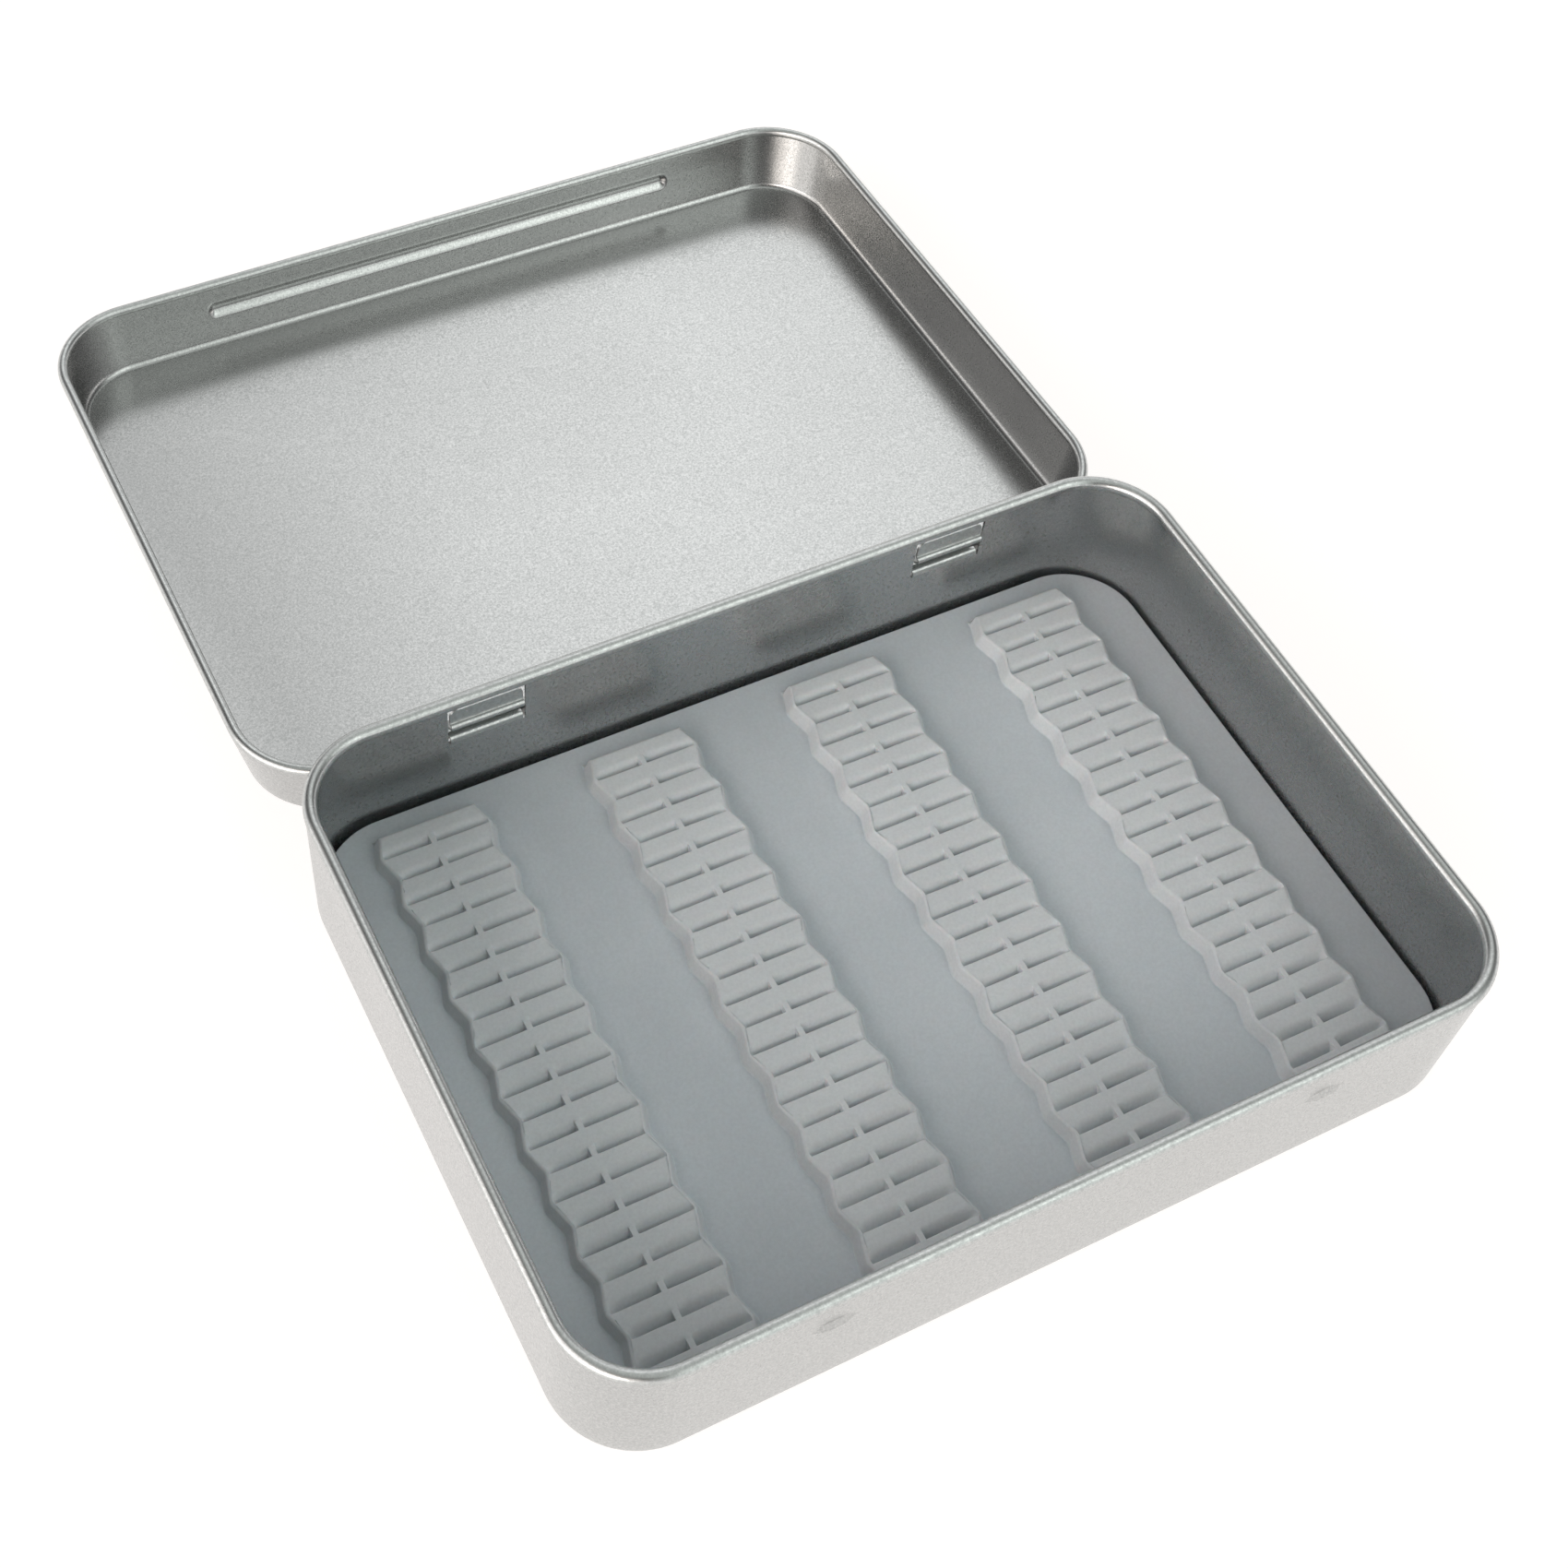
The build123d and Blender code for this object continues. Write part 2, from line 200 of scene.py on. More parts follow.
def tray(size, wall_z, low_x, high_x, push, holes):
    """Points, faces and the faces of the rolled rim of a pressed tray. push(x, y, z) is how
    far the sheet is pressed outwards, and each hole is (side of Y, x0, x1, z0, z1)."""
    foot = size["heel_r"] + size["taper"] + size["joggle"]
    rows = tray_section(size, wall_z)
    edge_x, edge_y = size["length"] / 2 - foot, size["width"] / 2 - foot
    stations = ring(edge_x, edge_y, size["corner_r"] - foot, low_x, high_x)
    n, m = len(stations), len(rows)
    verts = []
    for bx, by, nx, ny in stations:
        for x, z, tx, tz in rows:
            pressed = push(bx, by, z)
            for half in (SHEET / 2, -SHEET / 2):
                u = x + half * tz + pressed
                verts.append((bx + u * nx, by + u * ny, z - half * tx))

    def at(i, j, face):
        return ((i % n) * m + j) * 2 + face

    cells = cut_cells(stations, rows, holes)
    faces, rim = [], []
    for i in range(n):
        for j in range(m - 1):
            if (i, j) in cells:
                # The sheet's thickness shows along the hole's edges.
                edges = {
                    ((i - 1) % n, j): ((i, j), (i, j + 1)),
                    ((i + 1) % n, j): ((i + 1, j), (i + 1, j + 1)),
                    (i, j - 1): ((i, j), (i + 1, j)),
                    (i, j + 1): ((i, j + 1), (i + 1, j + 1)),
                }
                for beside, (p, q) in edges.items():
                    if beside not in cells:
                        faces.append((at(*p, 0), at(*q, 0), at(*q, 1), at(*p, 1)))
                continue
            # The roll's faces go in rim and take the second tinplate, whose lighter colour is a
            # painted highlight.
            if j >= m - ROLL_STEPS:
                rim += [len(faces), len(faces) + 1]
            faces.append((at(i, j, 0), at(i + 1, j, 0), at(i + 1, j + 1, 0), at(i, j + 1, 0)))
            faces.append((at(i, j, 1), at(i, j + 1, 1), at(i + 1, j + 1, 1), at(i + 1, j, 1)))
        faces.append((at(i, m - 1, 0), at(i + 1, m - 1, 0), at(i + 1, m - 1, 1), at(i, m - 1, 1)))
    faces.append([at(i, 0, 0) for i in range(n)])
    faces.append([at(i, 0, 1) for i in reversed(range(n))])
    return verts, faces, rim


def lug_path():
    """The middle of one lug's sheet: over the lip, round under the lid's rim, back to a round
    nose inside the wall and up from it as the flap in the slot."""
    rows = [(WALL_MID_Y, SLOT_BOTTOM, 0.0, 1.0)]
    run(rows, LIP_R)
    bend(rows, LIP_R, -pi, LIP_STEPS)
    run(rows, LIP_Z - AXIS_Z)
    # The stretch from the rim to the nose is the tangent that crosses between their circles.
    nose_y = WALL_MID_Y - FOLD_R
    apart = hypot(AXIS_Y - nose_y, NOSE_UP)
    heading = atan2(NOSE_UP, nose_y - AXIS_Y) + asin((LUG_R + NOSE_R) / apart)
    bend(rows, LUG_R, pi / 2 + heading, RIM_STEPS)
    run(rows, sqrt(apart ** 2 - (LUG_R + NOSE_R) ** 2))
    bend(rows, NOSE_R, -heading, NOSE_STEPS)
    bend(rows, FOLD_R, pi / 2, FOLD_STEPS)
    run(rows, LUG_SHOULDER - rows[-1][1])
    for k in range(1, TIP_STEPS + 1):
        up = LUG_TIP_R * sin(radians(90 * k / TIP_STEPS))
        rows.append((WALL_MID_Y, LUG_SHOULDER + up, 0.0, 1.0))
    return rows


def lug(cx):
    """Points and faces of the hinge lug whose middle is at cx, with its tip's corners round."""
    rows = lug_path()
    across = [-1, -0.985, -0.5, 0, 0.5, 0.985, 1]
    verts, faces, w = [], [], len(across)
    for j, (y, z, ty, tz) in enumerate(rows):
        over = max(0.0, z - LUG_SHOULDER) if j >= len(rows) - TIP_STEPS - 1 else 0.0
        half = LUG_HALF - LUG_TIP_R + sqrt(max(0.0, LUG_TIP_R ** 2 - over ** 2))
        for s in (SHEET / 2, -SHEET / 2):
            verts += [(cx + t * half, y + s * tz, z - s * ty) for t in across]
    for j in range(len(rows) - 1):
        for side in range(2):
            for i in range(w - 1):
                a = (j * 2 + side) * w + i
                faces.append((a, a + 1, a + 2 * w + 1, a + 2 * w))
        for i in (0, w - 1):
            a = j * 2 * w + i
            faces.append((a, a + w, a + 3 * w, a + 2 * w))
    for j in (0, len(rows) - 1):
        a = j * 2 * w
        faces += [(a + i, a + i + 1, a + w + i + 1, a + w + i) for i in range(w - 1)]
    return verts, faces


# ---- node helpers -------------------------------------------------------------------
def shader(name):
    mat = bpy.data.materials.new(name)
    mat.use_nodes = True
    tree = mat.node_tree
    return mat, tree, tree.nodes["Principled BSDF"]


def add(tree, kind, **settings):
    """A node, with its inputs set by name and its own properties by _name."""
    node = tree.nodes.new(kind)
    for key, value in settings.items():
        if key.startswith("_"):
            setattr(node, key[1:], value)
        else:
            node.inputs[key].default_value = value
    return node


def noise(tree, where, scale, detail=2.0, rough=0.5):
    node = add(tree, "ShaderNodeTexNoise", Scale=scale, Detail=detail, Roughness=rough)
    tree.links.new(where, node.inputs["Vector"])
    return node.outputs["Fac"]


def spread(tree, value, lo, hi, to_lo, to_hi):
    """Maps lo to hi onto to_lo to to_hi, and holds the ends."""
    node = add(tree, "ShaderNodeMapRange")
    for key, number in zip(("From Min", "From Max", "To Min", "To Max"), (lo, hi, to_lo, to_hi)):
        node.inputs[key].default_value = number
    tree.links.new(value, node.inputs["Value"])
    return node.outputs["Result"]


def reckon(tree, op, a, b):
    """One operation on two values, each a socket or a number."""
    node = add(tree, "ShaderNodeMath", _operation=op)
    for k, v in enumerate((a, b)):
        if isinstance(v, (int, float)):
            node.inputs[k].default_value = v
        else:
            tree.links.new(v, node.inputs[k])
    return node.outputs[0]


def blend_colours(tree, fac, a, b):
    """A mix of two colours, each a socket or a tuple. The Mix node has its factor, its two
    colours and its colour result at these places."""
    node = add(tree, "ShaderNodeMix", _data_type="RGBA")
    tree.links.new(fac, node.inputs[0])
    for k, v in ((6, a), (7, b)):
        if isinstance(v, tuple):
            node.inputs[k].default_value = (*v, 1)
        else:
            tree.links.new(v, node.inputs[k])
    return node.outputs[2]


def bump(tree, height, strength, distance):
    node = add(tree, "ShaderNodeBump", Strength=strength, Distance=distance)
    tree.links.new(height, node.inputs["Height"])
    return node.outputs["Normal"]


# ---- materials ----------------------------------------------------------------------
def tinplate(name, dark, light, rough, scale=3100.0, dent=0.00002):
    """Satin tinplate: a fine sparkling grain in tone, roughness and height, and faint smears."""
    mat, tree, bsdf = shader(name)
    where = add(tree, "ShaderNodeTexCoord").outputs["Object"]
    fine = noise(tree, where, 5200.0, 1.0)
    flake = noise(tree, where, scale, 1.0)
    broad = noise(tree, where, 30.0, 3.0, 0.55)
    halves = [reckon(tree, "MULTIPLY", layer, 0.5) for layer in (fine, flake)]
    grain = reckon(tree, "ADD", *halves)
    tone = spread(tree, grain, 0.34, 0.66, 0.0, 1.0)
    colour = blend_colours(tree, tone, dark, light)
    haze = spread(tree, broad, 0.35, 0.7, 0.0, 0.12)
    colour = blend_colours(tree, haze, colour, light)
    tree.links.new(colour, bsdf.inputs["Base Color"])
    gloss = spread(tree, grain, 0.35, 0.65, rough + 0.05, rough - 0.05)
    gloss = reckon(tree, "ADD", gloss, spread(tree, broad, 0.3, 0.7, -0.02, 0.03))
    tree.links.new(gloss, bsdf.inputs["Roughness"])
    tree.links.new(bump(tree, grain, 0.3, dent), bsdf.inputs["Normal"])
    bsdf.inputs["Metallic"].default_value = 1.0
    return mat


def silicone(name, dark, light, rough):
    """Soft grey moulded rubber with a faint cloudiness, a fine tooth and a little dust."""
    mat, tree, bsdf = shader(name)
    where = add(tree, "ShaderNodeTexCoord").outputs["Object"]
    fine = noise(tree, where, 2600.0, 2.0, 0.6)
    cloud = noise(tree, where, 60.0, 3.0, 0.55)
    colour = blend_colours(tree, spread(tree, cloud, 0.3, 0.7, 0.0, 1.0), dark, light)
    pores = spread(tree, fine, 0.3, 0.7, 0.0, 0.12)
    colour = blend_colours(tree, pores, colour, (0.16, 0.17, 0.19))
    # Dust: a small dark dot in a few of the cells.
    dots = add(tree, "ShaderNodeTexVoronoi", Scale=170.0)
    tree.links.new(where, dots.inputs["Vector"])
    pick = spread(tree, dots.outputs["Color"], 0.93, 0.95, 0.0, 1.0)
    dot = spread(tree, dots.outputs["Distance"], 0.02, 0.03, 1.0, 0.0)
    speck = reckon(tree, "MULTIPLY", dot, pick)
    dust = reckon(tree, "MULTIPLY", speck, 0.5)
    colour = blend_colours(tree, dust, colour, (0.07, 0.07, 0.08))
    tree.links.new(colour, bsdf.inputs["Base Color"])
    gloss = spread(tree, fine, 0.3, 0.7, rough + 0.06, rough - 0.06)
    tree.links.new(gloss, bsdf.inputs["Roughness"])
    tree.links.new(bump(tree, fine, 0.3, 0.00003), bsdf.inputs["Normal"])
    bsdf.inputs["Specular IOR Level"].default_value = 0.35
    bsdf.inputs["Subsurface Weight"].default_value = 0.15
    bsdf.inputs["Subsurface Scale"].default_value = 0.0006
    return mat


# The second tinplate, for the rolled rims and the hinge lugs, is rougher and coarser in grain. Its
# lighter colour is a painted highlight.
tins = (
    tinplate("tinplate", (0.43, 0.435, 0.43), (0.56, 0.56, 0.555), 0.235),
    tinplate("rim_tinplate_painted_highlight", (0.48, 0.49, 0.485), (0.64, 0.65, 0.64), 0.31, 2000.0, 0.00004),
)
wire_steel = tinplate("drawn_wire", (0.42, 0.42, 0.42), (0.52, 0.52, 0.51), 0.3)
mat_rubber = silicone("mat_silicone", (0.53, 0.572, 0.606), (0.583, 0.623, 0.657), 0.5)
strip_rubber = silicone("strip_silicone", (0.622, 0.647, 0.666), (0.672, 0.697, 0.716), 0.55)
pad_foam = silicone("adhesive_foam", (0.62, 0.62, 0.6), (0.7, 0.7, 0.68), 0.8)

# ---- base shell ---------------------------------------------------------------------
# Two snap bumps are pressed into the front wall, each a soft oval of these half sizes.
BUMP_X, BUMP_Z = 29.3, 16.0
BUMP_HALF_X, BUMP_HALF_Z, BUMP_RISE = 2.55, 1.1, 0.45
BUMP_EDGE, BUMP_SLOPE = 1.06, 0.8
BUMP_REACH_X, BUMP_REACH_Z = 2.7, 1.25


def base_push(x, y, z):
    """How far the base's wall is pressed out for the snap bumps."""
    if y > 0:
        return 0.0
    r = hypot((abs(x) - BUMP_X) / BUMP_HALF_X, (z - BUMP_Z) / BUMP_HALF_Z)
    return BUMP_RISE * smooth((BUMP_EDGE - r) / BUMP_SLOPE)


def hinge_spans(half):
    """The stretch of wall within half of each hinge's middle, in four."""
    return [(s * HINGE_X - half, s * HINGE_X + half, 4) for s in (-1, 1)]


def hinge_holes(side, half, z0, z1):
    return [(side, s * HINGE_X - half, s * HINGE_X + half, z0, z1) for s in (-1, 1)]


base_run = BASE["length"] / 2 - BASE["corner_r"]
bump_spans = [(s * BUMP_X - BUMP_REACH_X, s * BUMP_X + BUMP_REACH_X, 26) for s in (-1, 1)]
bump_rows = [BUMP_Z - BUMP_REACH_Z + 2 * BUMP_REACH_Z * k / 16 for k in range(17)]
verts, faces, rim = tray(
    BASE,
    [4, 8, SLOT_BOTTOM, 14] + bump_rows + [18.4, SLOT_TOP],
    lines(-base_run, base_run, *bump_spans),
    lines(-base_run, base_run, *hinge_spans(SLOT_HALF)),
    base_push,
    hinge_holes(1, SLOT_HALF, SLOT_BOTTOM, SLOT_TOP),
)
for side in (-1, 1):
    lug_verts, lug_faces = lug(side * HINGE_X)
    first = len(verts)
    verts += lug_verts
    # The lugs take the rim's tinplate too, so its lighter colour paints a highlight on them as well.
    rim += range(len(faces), len(faces) + len(lug_faces))
    faces += [tuple(i + first for i in face) for face in lug_faces]
base_obj = piece("base_tin", verts, faces, tins, "base", replace=("base_shell",), rim=rim)

# ---- lid shell: made flat with its hinge edge towards -Y, then laid open -------------
PIVOT_Z = LID["depth"] - LID["curl_r"]
GROOVE_Z, GROOVE_DEPTH, GROOVE_SLOPE = LID["depth"] - 4.7, 0.55, 1.2
GROOVE_HALF_X, GROOVE_HALF_Z = 34.9, 1.3
GROOVE_REACH_Z, GROOVE_END = 1.4, 1.6


def lid_push(x, y, z):
    """How far the lid's front wall is pressed out for the long groove."""
    if y < 0:
        return 0.0
    d = hypot(max(0.0, abs(x) - (GROOVE_HALF_X - GROOVE_HALF_Z)), z - GROOVE_Z)
    return GROOVE_DEPTH * smooth((GROOVE_HALF_Z - d) / GROOVE_SLOPE)


def laid_open(verts):
    """Turns the flat lid about the hinge until its far edge comes down on the table."""
    arm = LID["width"] - LID["curl_r"] - LID["taper"] - LID["heel_r"]
    drop = LID["depth"] - LID["curl_r"] - LID["heel_r"]
    height = AXIS_Z - LID["heel_r"] - TABLE_GAP
    lean = asin(height / hypot(arm, drop)) - atan2(drop, arm)
    flat = np.array(verts)
    u, v = flat[:, 1] + AXIS_Y, flat[:, 2] - PIVOT_Z
    y = AXIS_Y + u * cos(lean) + v * sin(lean)
    z = AXIS_Z - u * sin(lean) + v * cos(lean)
    return np.column_stack([flat[:, 0], y, z])


lid_run = LID["length"] / 2 - LID["corner_r"]
window_foot = PIVOT_Z - WINDOW_HEIGHT
groove_rows = [GROOVE_Z - GROOVE_REACH_Z + 2 * GROOVE_REACH_Z * k / 20 for k in range(21)]
groove_ends = [
    (-GROOVE_HALF_X, -GROOVE_HALF_X + GROOVE_END, 14),
    (GROOVE_HALF_X - GROOVE_END, GROOVE_HALF_X, 14),
]
verts, faces, rim = tray(
    LID,
    [2.6] + groove_rows + [window_foot],
    lines(-lid_run, lid_run, *hinge_spans(WINDOW_HALF)),
    lines(-lid_run, lid_run, *groove_ends),
    lid_push,
    hinge_holes(-1, WINDOW_HALF, window_foot, PIVOT_Z),
)
lid_obj = piece("lid_tin", laid_open(verts), faces, tins, "lid", replace=("lid_shell",), rim=rim)

# ---- mat ----------------------------------------------------------------------------
# A little longer than the solid, and not quite in the middle, as in the photo.
MAT_HALF_X, MAT_HALF_Y, MAT_CORNER_R = 54.5, 39.35, 9.1
MAT_SHIFT_X, MAT_SHIFT_Y = 0.2, 0.1
MAT_Z, MAT_TOP, MAT_EDGE_R = 1.3, 4.1, 0.25


def mat_profile():
    """The mat's edge, from its underside up and in over the top, as (inwards, z)."""
    out = [(0.0, MAT_Z), (0.0, MAT_TOP - MAT_EDGE_R)]
    for a in (15, 30, 45, 60, 75, 90):
        inwards = MAT_EDGE_R * (1 - cos(radians(a)))
        out.append((inwards, MAT_TOP - MAT_EDGE_R * (1 - sin(radians(a)))))
    return out + [(1.2, MAT_TOP), (3.0, MAT_TOP)]


profile = mat_profile()
run_x = MAT_HALF_X - MAT_CORNER_R
across = lines(-run_x, run_x, (-run_x, run_x, 8))
stations = ring(MAT_HALF_X, MAT_HALF_Y, MAT_CORNER_R, across, across)
verts = [
    (MAT_SHIFT_X + bx - d * nx, MAT_SHIFT_Y + by - d * ny, z)
    for bx, by, nx, ny in stations
    for d, z in profile
]
m, n = len(profile), len(stations)
faces = [
    (i * m + j, (i + 1) % n * m + j, (i + 1) % n * m + j + 1, i * m + j + 1)
    for i in range(n)
    for j in range(m - 1)
]
faces.append([i * m for i in reversed(range(n))])
faces.append([i * m + m - 1 for i in range(n)])
mat_obj = piece("mat_sheet", verts, faces, (mat_rubber,), "base", replace=("mat",))

# ---- strips -------------------------------------------------------------------------
STRIPS, STRIP_PITCH = 4, 26.8
SLITS, RISE, DRAFT = 21, 1.8, 0.65
WIDE, NARROW = 6.85, 5.85  # half the top's width at the odd slits, and at the even ones
END = 2.8  # last slit to the strip's end
MARGIN, BRIDGE = 0.3, 0.4  # slit's end to the top's edge, and half the uncut middle
SOLID_MAT_HALF_Y, SIDE_GAP = 39.3, 2.65  # mat's long side to the foot of a strip's end
STRIP_HALF = SOLID_MAT_HALF_Y - SIDE_GAP - DRAFT
SLIT_RUN = 2 * (STRIP_HALF - END)
PITCH = SLIT_RUN / (SLITS - 1)
# A slit across its width: a steep near side and a far side that rounds over at the top.
SLIT_Y = (-0.5, -0.38, -0.33, -0.29, -0.12, 0.02, 0.14, 0.27, 0.42, 0.6, 0.8, 1.0, 1.2)
SLIT_DIP = (0.0, 0.01, 0.06, 1.6, 1.55, 1.38, 1.08, 0.78, 0.5, 0.28, 0.12, 0.03, 0.0)
EDGE_R, FOOT_R = 0.5, 0.2
TOP_SOFT, FOOT_SOFT = 0.25, 0.5  # how far the side line's corners are evened out
BRIDGE_SHIFT, BRIDGE_SPREAD = 0.3, 5.0  # the bridges lie a little to the left


def side_line(y):
    """Half the top's width, with corners: wide at the odd slits, narrow elsewhere."""
    t = (y + SLIT_RUN / 2) / PITCH
    if t < 0 or t > SLITS - 1:
        over = -t if t < 0 else t - (SLITS - 1)
        return WIDE + (NARROW - WIDE) * min(1.0, over * PITCH / END)
    k = int(t) if t < SLITS - 1 else SLITS - 2
    a, b = (WIDE, NARROW) if k % 2 == 0 else (NARROW, WIDE)
    return a + (b - a) * (t - k)


def half_width(y, soft):
    """The side line with its corners evened out over soft millimetres each way."""
    return sum(side_line(y + soft * d) for d in (-1, -0.5, 0, 0.5, 1)) / 5


def strip_edge():
    """The rounded edge, the drafted side and the filleted foot, as (out, down) from the edge."""
    slope = atan2(RISE, DRAFT)
    top, foot = EDGE_R * tan(slope / 2), FOOT_R * tan(slope / 2)
    steps = [slope * k / 6 for k in range(7)]
    edge = [(-top + EDGE_R * sin(a), EDGE_R * (1 - cos(a))) for a in steps]
    for a in reversed(steps):
        edge.append((DRAFT + foot - FOOT_R * sin(a), RISE - FOOT_R * (1 - cos(a))))
    return edge


def strip_rows(edge, centres):
    """Rows (y, slit number or -1, depth of the strip's own end) from one end to the other."""
    rows = [(-STRIP_HALF + 1.2, -1, 0.0)]
    for k, middle in enumerate(centres):
        rows += [(middle + d, k, 0.0) for d in (-1.0, *SLIT_Y, 1.5)]
    rows.append((STRIP_HALF - 1.2, -1, 0.0))
    for out, down in edge:
        rows.insert(0, (-STRIP_HALF - out, -1, down))
        rows.append((STRIP_HALF + out, -1, down))
    return rows


def strip_mesh(cx, seed):
    """Points and faces of a strip along Y: each slit half has its own depth, line and reach."""
    rng = np.random.default_rng(seed)
    edge = strip_edge()
    centres = [k * PITCH - SLIT_RUN / 2 for k in range(SLITS)]
    rows = strip_rows(edge, centres)
    depth = rng.uniform(0.88, 1.12, (SLITS, 2))
    wander = rng.uniform(-0.05, 0.05, (SLITS, 2))
    reach = rng.uniform(-0.12, 0.12, (SLITS, 2))
    verts = []
    for y, k, end_down in rows:
        at = max(-STRIP_HALF, min(STRIP_HALF, y))
        w, foot_w = half_width(at, TOP_SOFT), half_width(at, FOOT_SOFT)
        for right in (0, 1):
            cut = w - MARGIN + (reach[k][right] if k >= 0 else 0.0)
            half = [(x, 0.0) for x in (0.0, BRIDGE - 0.06, BRIDGE, BRIDGE + 0.08, 1.4, 3.0)]
            half += [(cut - back, 0.0) for back in (1.6, 0.8, 0.35, 0.0)]
            half += [(w + (foot_w - w) * down / RISE + out, down) for out, down in edge]
            if not right:
                half = half[:0:-1]
            for x, down in half:
                down = max(down, end_down)
                if k >= 0 and BRIDGE - 0.03 < x < cut - 0.01:
                    dip = np.interp(y - centres[k], SLIT_Y, SLIT_DIP)
                    fade = min(1.0, 0.4 + 0.6 * (cut - x) / 2.2) * min(1.0, (cut - x) / 0.4)
                    mouth = 0.5 if x < BRIDGE + 0.02 else 1.0
                    down += dip * fade * depth[k][right] * mouth
                drift = wander[k][right] * min(1.0, x / 3) if k >= 0 else 0.0
                shift = BRIDGE_SHIFT * max(0.0, 1 - x / BRIDGE_SPREAD)
                out = x if right else -x
                verts.append((cx + out - shift, y + drift, MAT_TOP + RISE - down))
    w, last = len(verts) // len(rows), len(rows) - 1
    faces = [
        (i * w + j, i * w + j + 1, (i + 1) * w + j + 1, (i + 1) * w + j)
        for i in range(last)
        for j in range(w - 1)
    ]
    foot = list(range(w)) + [i * w + w - 1 for i in range(1, len(rows))]
    foot += [last * w + j for j in range(w - 2, -1, -1)]
    foot += [i * w for i in range(last - 1, 0, -1)]
    return verts, faces + [foot[::-1]]


for k in range(STRIPS):
    verts, faces = strip_mesh((k - (STRIPS - 1) / 2) * STRIP_PITCH, 11 + k)
    node = f"strip_{k + 1}"
    obj = piece(f"ridge_{k + 1}", verts, faces, (strip_rubber,), "base", sharp=50.0, replace=(node,))

# ---- carried-over nodes -------------------------------------------------------------
for name, material in (("hinge_wire", wire_steel), ("adhesive_pad", pad_foam)):
    for slot in nodes[name].material_slots:
        slot.material = material

# ---- stage --------------------------------------------------------------------------
# A floor that shows white to the camera and in reflections, keeps the part's shadow, and
# otherwise lights the part as a pale matt table does.
FLOOR_HALF, FLOOR_Z = 20.0, -0.00005
floor_mat, tree, bsdf = shader("studio_floor")
tree.nodes.remove(bsdf)
path = add(tree, "ShaderNodeLightPath").outputs
seen = reckon(tree, "MAXIMUM", path["Is Camera Ray"], path["Is Glossy Ray"])
seen = reckon(tree, "MAXIMUM", seen, path["Is Transmission Ray"])
plain = add(tree, "ShaderNodeBsdfDiffuse", Color=(0.8, 0.8, 0.8, 1))
shade = add(tree, "ShaderNodeBsdfDiffuse", Color=(0.38, 0.38, 0.38, 1))
white = add(tree, "ShaderNodeEmission", Color=(1, 0.97, 0.95, 1), Strength=0.8)
shown = add(tree, "ShaderNodeAddShader")
mixed = add(tree, "ShaderNodeMixShader")
tree.links.new(shade.outputs[0], shown.inputs[0])
tree.links.new(white.outputs[0], shown.inputs[1])
tree.links.new(seen, mixed.inputs[0])
tree.links.new(plain.outputs[0], mixed.inputs[1])
tree.links.new(shown.outputs[0], mixed.inputs[2])
tree.links.new(mixed.outputs[0], tree.nodes["Material Output"].inputs["Surface"])
floor_mesh = bpy.data.meshes.new("studio_floor")
corners = [(-1, -1), (1, -1), (1, 1), (-1, 1)]
points = [(FLOOR_HALF * x, FLOOR_HALF * y, FLOOR_Z) for x, y in corners]
floor_mesh.from_pydata(points, [], [(0, 1, 2, 3)])
floor_mesh.materials.append(floor_mat)
floor = bpy.data.objects.new("studio_floor", floor_mesh)
bpy.context.scene.collection.objects.link(floor)

# ---- light --------------------------------------------------------------------------
# A pale band round the horizon (strength, full below, nothing above), a dim ceiling and soft
# lamps. Each lamp is (azimuth, elevation, full inside, nothing outside, colour), in degrees,
# azimuth from +X.
HORIZON = (1.0, 8.0, 25.0)
CEILING = 0.08
LAMPS = (
    (-178, 24, 6, 42, (1.95, 1.86, 1.81)),
    (-140, 20, 3, 22, (3.8, 3.5, 3.3)),
    (53, 37, 4, 24, (0.78, 0.8, 0.8)),
    (53, 55, 4, 24, (0.3, 0.3, 0.3)),
    (75, 37, 4, 24, (0.6, 0.61, 0.61)),
    (-75, 30, 4, 26, (0.84, 0.9, 0.86)),
    (-50, 45, 4, 26, (1.28, 1.35, 1.3)),
    (0, 82, 10, 42, (0.5, 0.53, 0.51)),
)
world = bpy.data.worlds.new("studio")
bpy.context.scene.world = world
world.use_nodes = True
tree = world.node_tree
way = add(tree, "ShaderNodeTexCoord").outputs["Generated"]


def glow(value, lo, hi, colour):
    """Colour times a smooth step that rises as value goes from lo to hi."""
    step = add(tree, "ShaderNodeMapRange", _interpolation_type="SMOOTHSTEP")
    step.inputs["From Min"].default_value = lo
    step.inputs["From Max"].default_value = hi
    tree.links.new(value, step.inputs["Value"])
    scaled = add(tree, "ShaderNodeVectorMath", _operation="SCALE")
    scaled.inputs[0].default_value = colour
    tree.links.new(step.outputs["Result"], scaled.inputs["Scale"])
    return scaled.outputs["Vector"]


def plus(a, b):
    """Adds light b, a socket or a colour, to a."""
    node = add(tree, "ShaderNodeVectorMath", _operation="ADD")
    tree.links.new(a, node.inputs[0])
    if isinstance(b, tuple):
        node.inputs[1].default_value = b
    else:
        tree.links.new(b, node.inputs[1])
    return node.outputs["Vector"]


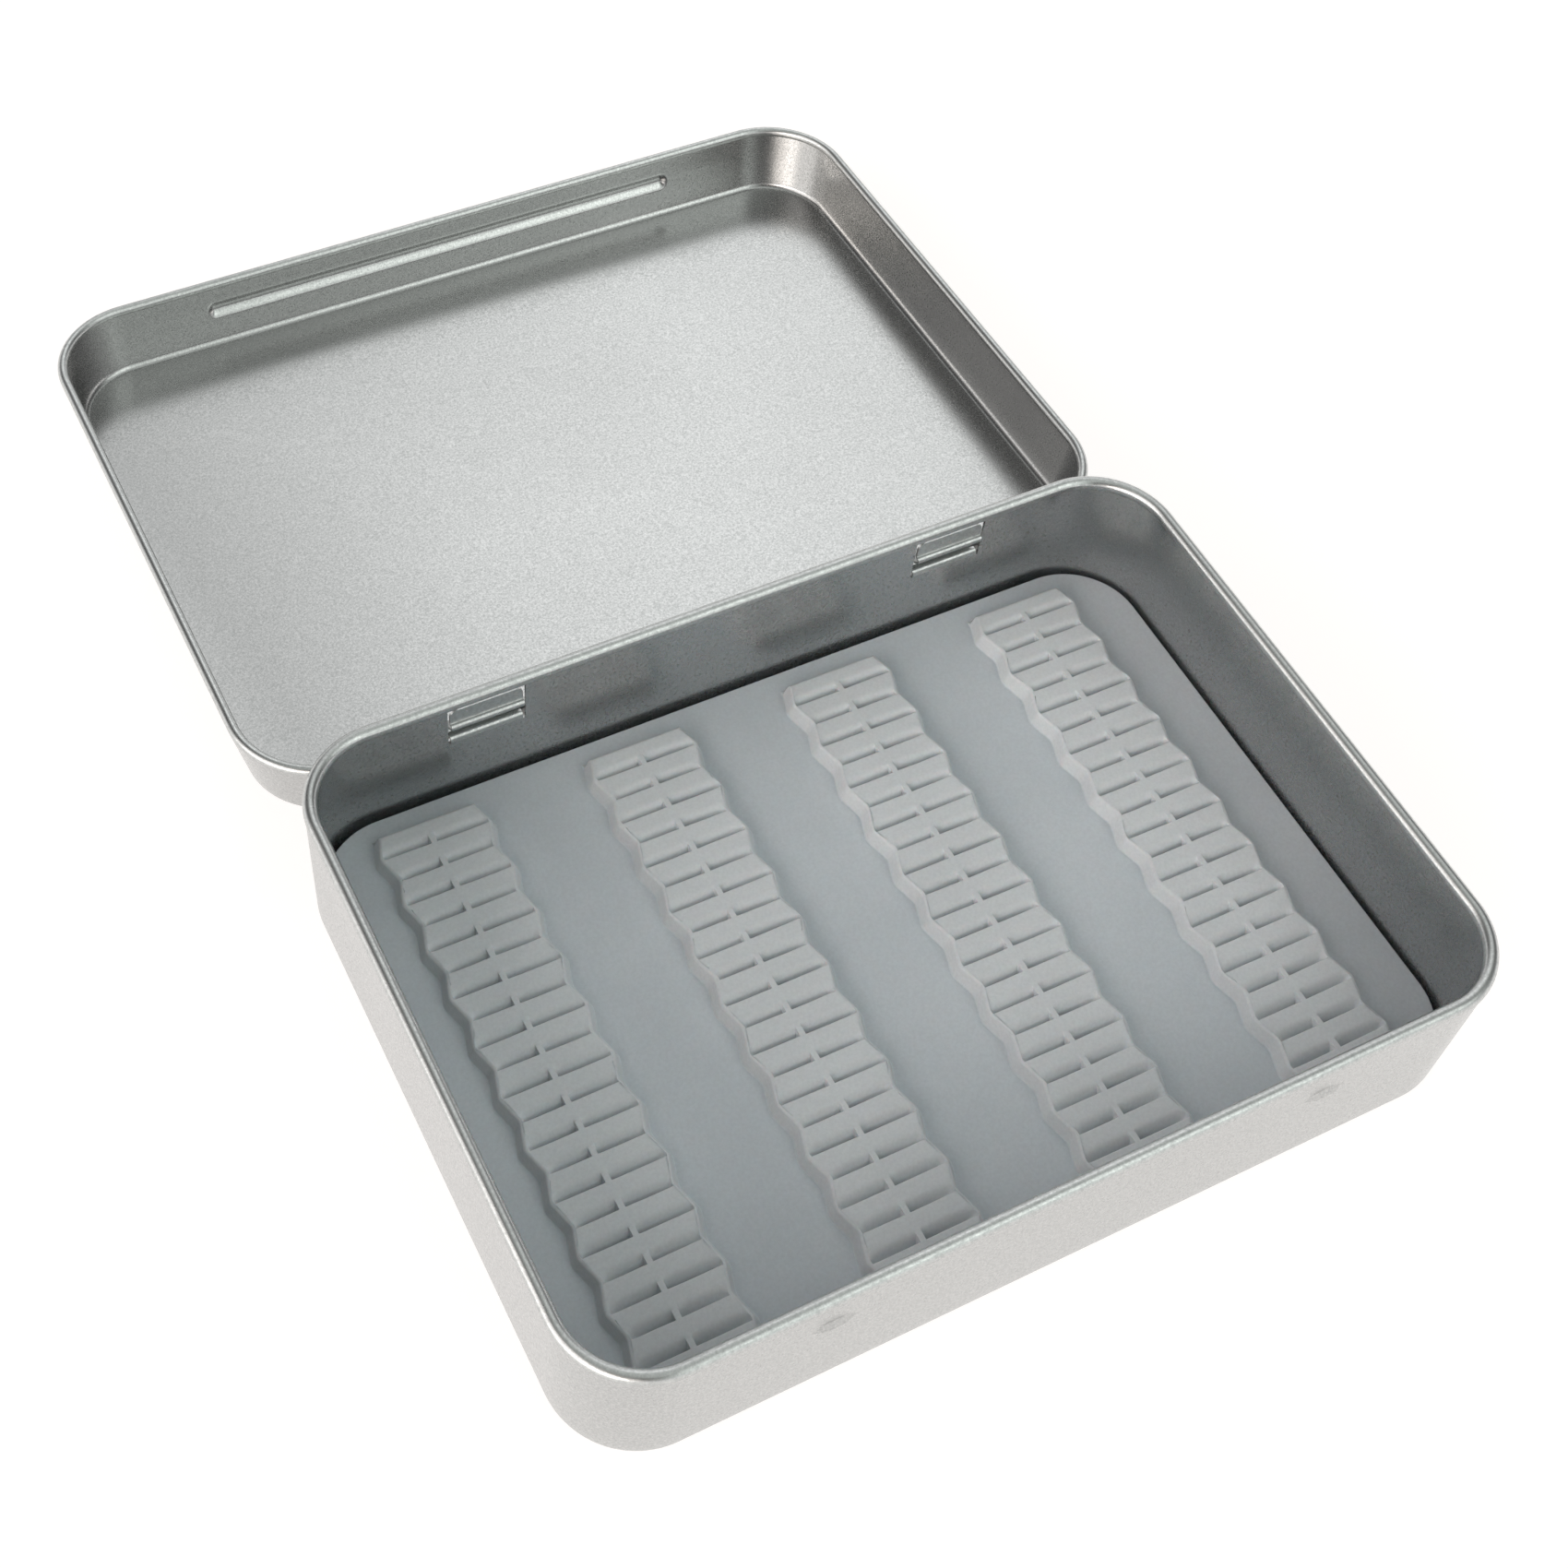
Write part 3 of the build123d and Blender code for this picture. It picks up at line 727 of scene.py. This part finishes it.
height = add(tree, "ShaderNodeSeparateXYZ")
tree.links.new(way, height.inputs[0])
strength, full, none = HORIZON
band = (strength - CEILING,) * 3
total = glow(height.outputs["Z"], sin(radians(none)), sin(radians(full)), band)
for azimuth, elevation, full, none, colour in LAMPS:
    a, e = radians(azimuth), radians(elevation)
    toward = add(tree, "ShaderNodeVectorMath", _operation="DOT_PRODUCT")
    toward.inputs[1].default_value = (cos(a) * cos(e), sin(a) * cos(e), sin(e))
    tree.links.new(way, toward.inputs[0])
    lamp = glow(toward.outputs["Value"], cos(radians(none)), cos(radians(full)), colour)
    total = plus(total, lamp)
total = plus(total, (CEILING,) * 3)
tree.links.new(total, tree.nodes["Background"].inputs["Color"])

# ---- camera -------------------------------------------------------------------------
# The photo's own camera. In pixels of a frame this wide: its focal length, and the column
# that its axis meets. Its turn, tilt and roll, and how far right of it, below it and ahead of
# it the part's origin lies, in metres.
FRAME_PX, FOCAL_PX, AXIS_PX = 1700, 2426.033, 755
TURN, TILT, ROLL = radians(-31.881), radians(55.378), radians(6.276)
ORIGIN = Vector((20.422, 20.979, 258.036)) * 0.001
look = Vector((-sin(TURN) * cos(TILT), cos(TURN) * cos(TILT), -sin(TILT)))
level = look.cross(Vector((0, 0, 1))).normalized()
plumb = look.cross(level)
right = level * cos(ROLL) - plumb * sin(ROLL)
down = level * sin(ROLL) + plumb * cos(ROLL)
place = -(right * ORIGIN.x + down * ORIGIN.y + look * ORIGIN.z)
cam_data = bpy.data.cameras.new("camera")
cam_data.sensor_width = 36.0
cam_data.lens = cam_data.sensor_width * FOCAL_PX / FRAME_PX
cam_data.shift_x = (FRAME_PX / 2 - AXIS_PX) / FRAME_PX
cam_data.clip_start = 0.01
cam = bpy.data.objects.new("camera", cam_data)
turned = Matrix((right, -down, -look)).transposed().to_4x4()
cam.matrix_world = Matrix.Translation(place) @ turned
bpy.context.scene.collection.objects.link(cam)
bpy.context.scene.camera = cam
bpy.context.scene.view_settings.view_transform = "Standard"
